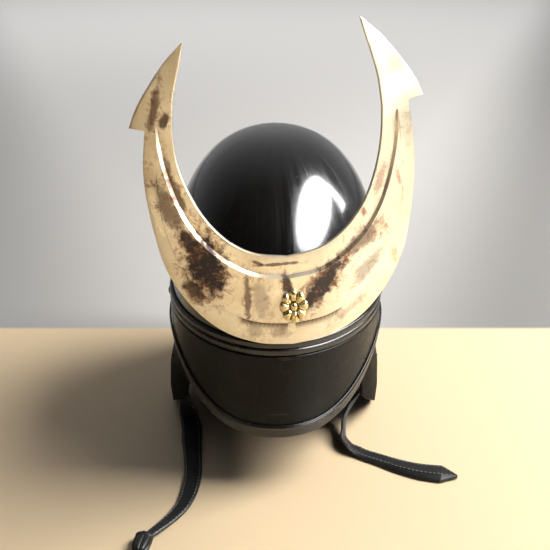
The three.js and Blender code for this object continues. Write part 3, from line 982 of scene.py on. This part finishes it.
def dark_steel():
    paint = Paint("dark_steel", Base_Color=grey(0.03), Metallic=0.8, Roughness=0.3)
    cloud = paint.noise(240, 5)
    colour = paint.blended(cloud, grey(0.02), grey(0.07))
    rough = paint.ranged(cloud, 0.3, 0.7, 0.22, 0.42)
    return paint.set(Base_Color=colour, Roughness=rough, Normal=paint.bump(cloud, 0.0001, 0.3))


def thread():
    """Waxed twisted thread."""
    paint = Paint("thread", Base_Color=grey(0.16), Roughness=0.5)
    twist = paint.node("TexWave", 1, {"Vector": paint.place, "Scale": 900, "Distortion": 1.5})
    colour = paint.blended(twist, grey(0.09), grey(0.22))
    return paint.set(Base_Color=colour, Normal=paint.bump(twist, 0.0001, 0.5))


# ---- assembly ----

LACQUER = lacquer()
SHELL_LEATHER = leather("shell_leather", 0.010, 0.24, 0.38, 0.13, 0.00005)
TRIM_LEATHER = leather("trim_leather", 0.010, 0.18, 0.32, 0.6, 0.00004)
# Painted shade: the ear flaps get a darker copy of the shell leather.
SHADED_FLAP_LEATHER = leather("flap_leather_painted_shade", 0.005, 0.42, 0.6, 0.03)
STRAP_LEATHER = leather("strap_leather", 0.014, 0.3, 0.46, 0.25, 0.00016)
IVORY_GOLD = ivory_gold()
ANTIQUE_GOLD = antique_gold()
DARK_STEEL = dark_steel()
THREAD = thread()

dressed(shaped("bowl_shell", *bowl()), LACQUER, "lacquered_bowl", "bowl")
for name, make, material in (
    ("peak", peak, SHELL_LEATHER),
    ("peak_rim", peak_rim, TRIM_LEATHER),
    ("brow_bead", brow_bead, TRIM_LEATHER),
    ("neck_guard", neck_guard, SHELL_LEATHER),
):
    dressed(shaped(name + "_leather", *make()), material, "black_leather", name)

plate = shaped("plate", *crest_plate())
field = shaped("field", *crest_field())
crescent = dressed(joined("crescent_cast", plate, field), IVORY_GOLD, "crest_ivory_gold", "crescent")
# No reflection of the crest can be made out in the photographed dome.
crescent.visible_glossy = False
dressed(shaped("rosette_cast", *rosette(), crease=60), ANTIQUE_GOLD, "antique_gold", "rosette")
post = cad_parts["crescent_post"]
post.data.materials.clear()
post.data.materials.append(DARK_STEEL)

for hand, side in (("left", -1), ("right", 1)):
    flap = shaped("flap_leather_painted_shade_" + hand, *ear_flap(side))
    dressed(flap, SHADED_FLAP_LEATHER, "black_leather", "ear_flap_" + hand)
    dressed(shaped("stud_head_" + hand, *stud(side)), DARK_STEEL, "dark_steel", "stud_" + hand)
    dressed(shaped("rivet_head_" + hand, *flap_rivet(side)), DARK_STEEL, "dark_steel", "flap_rivet_" + hand)

for hand, rows, lines, end_share in (
    ("left", STRAP_LEFT, (0.13, 0.87), 0.99),
    ("right", STRAP_RIGHT, (STRAP["fold"], 0.84), 0.985),
):
    name = "strap_" + hand
    dressed(shaped(name + "_leather", *strap(rows, 260)), STRAP_LEATHER, "black_leather", name)
    dressed(shaped(name + "_stitches", *stitches(rows, lines, end_share)), THREAD, "black_leather")
dressed(shaped("knot_leather", *knot()), STRAP_LEATHER, "black_leather", "strap_left_knot")

# ---- floor, light and camera ----


def floor():
    """A pale floor, warm around the helmet and grey far behind it, with painted shade darkening the grey
    towards the right and the left.
    """
    mesh = bpy.data.meshes.new("floor")
    reach = 12
    corners = [(-reach, -reach, 0), (reach, -reach, 0), (reach, reach, 0), (-reach, reach, 0)]
    mesh.from_pydata(corners, [], [(0, 1, 2, 3)])
    plane = bpy.data.objects.new("floor", mesh)
    bpy.context.scene.collection.objects.link(plane)
    paint = Paint("floor", Base_Color=(0.8, 0.68, 0.5, 1), Roughness=0.5)
    parts = paint.nodes.new("ShaderNodeSeparateXYZ")
    paint.link(paint.place, parts.inputs[0])
    behind = paint.ranged(parts.outputs[1], MIDDLE.y + 0.124, MIDDLE.y + 0.132)
    # Painted shade: the grey part behind the helmet is darkened towards the right and the left.
    nearer = paint.math("MULTIPLY", parts.outputs[1], 0.4)
    right = paint.ranged(paint.math("SUBTRACT", parts.outputs[0], nearer), -0.1, 0.2, 1, 0.4)
    left = paint.ranged(paint.math("ADD", parts.outputs[0], nearer), -0.28, -0.02, 0.65, 1)
    painted_side_shade = paint.math("MULTIPLY", right, left)
    far = paint.blended(painted_side_shade, (0, 0, 0, 1), (0.58, 0.565, 0.55, 1))
    mesh.materials.append(paint.set(Base_Color=paint.blended(behind, (0.80, 0.62, 0.40, 1), far)))


def area_light(
    name,
    size,
    place,
    aim,
    radiance,
    colour=(1, 1, 1),
    shape="RECTANGLE",
    seen=True,
    lights=True,
    spread=180,
):
    """A flat lamp of a given radiance. seen is in gloss, and lights is on dull surfaces."""
    data = bpy.data.lights.new(name, "AREA")
    data.shape = shape
    data.size, data.size_y = size
    share = math.pi / 4 if shape == "ELLIPSE" else 1
    data.energy = radiance * math.pi * size[0] * size[1] * share
    data.color = colour
    data.spread = math.radians(spread)
    lamp = bpy.data.objects.new(name, data)
    lamp.location = MIDDLE + Vector(place)
    lamp.rotation_euler = (Vector(aim) - Vector(place)).to_track_quat("-Z", "Y").to_euler()
    lamp.visible_glossy = seen
    lamp.visible_diffuse = lights
    bpy.context.scene.collection.objects.link(lamp)


def light():
    """A window and a key light at the right, soft light from above, and a room dark on one side.

    All of it is set for the photograph's own view.
    """
    world = bpy.data.worlds.new("studio")
    bpy.context.scene.world = world
    world.use_nodes = True
    nodes, links = world.node_tree.nodes, world.node_tree.links
    background = nodes["Background"]
    background.inputs[0].default_value = (0.97, 0.98, 1.0, 1)
    parts = nodes.new("ShaderNodeSeparateXYZ")
    links.new(nodes.new("ShaderNodeTexCoord").outputs["Generated"], parts.inputs[0])
    fade = nodes.new("ShaderNodeMapRange")
    fade.inputs["From Min"].default_value = -0.2
    fade.inputs["From Max"].default_value = 0.9
    fade.inputs["To Min"].default_value = 0.02
    fade.inputs["To Max"].default_value = 0.4
    links.new(parts.outputs[1], fade.inputs["Value"])
    links.new(fade.outputs[0], background.inputs[1])

    area_light("window", (3.4, 2.4), (1.6, -1.1, 1.85), (0, -1.1, 1.85), 22, shape="ELLIPSE", lights=False)
    area_light("window_end", (0.3, 0.8), (1.6, 0.4, 0.99), (0, 0.4, 0.99), 16, lights=False)
    area_light("key", (0.85, 0.85), (1.1, 0.13, 1.25), (0, 0, 0.05), 21, (1, 0.985, 0.95), seen=False)
    area_light("table", (3, 0.8), (-0.35, -1.3, 1.1), (-0.35, -1.3, 0), 4, seen=False, spread=50)
    area_light("back", (4, 2.2), (0, 2.4, 1.7), (0, 2.4, 0), 1.15, seen=False, spread=100)


# The photograph's view: metres from MIDDLE, degrees below level and round to the left.
CAMERA = {"place": (0, -0.6296, 0.4645), "below": 27.5235, "turn": 0.04, "sensor": 36, "lens": 49.94}


def camera():
    data = bpy.data.cameras.new("camera")
    data.sensor_width = CAMERA["sensor"]
    data.lens = CAMERA["lens"]
    view = bpy.data.objects.new("camera", data)
    view.location = MIDDLE + Vector(CAMERA["place"])
    view.rotation_euler = (math.radians(90 - CAMERA["below"]), 0, math.radians(CAMERA["turn"]))
    bpy.context.scene.collection.objects.link(view)
    bpy.context.scene.camera = view


floor()
light()
camera()
# The photograph's whites clip, as they do with the standard transform.
bpy.context.scene.view_settings.view_transform = "Standard"
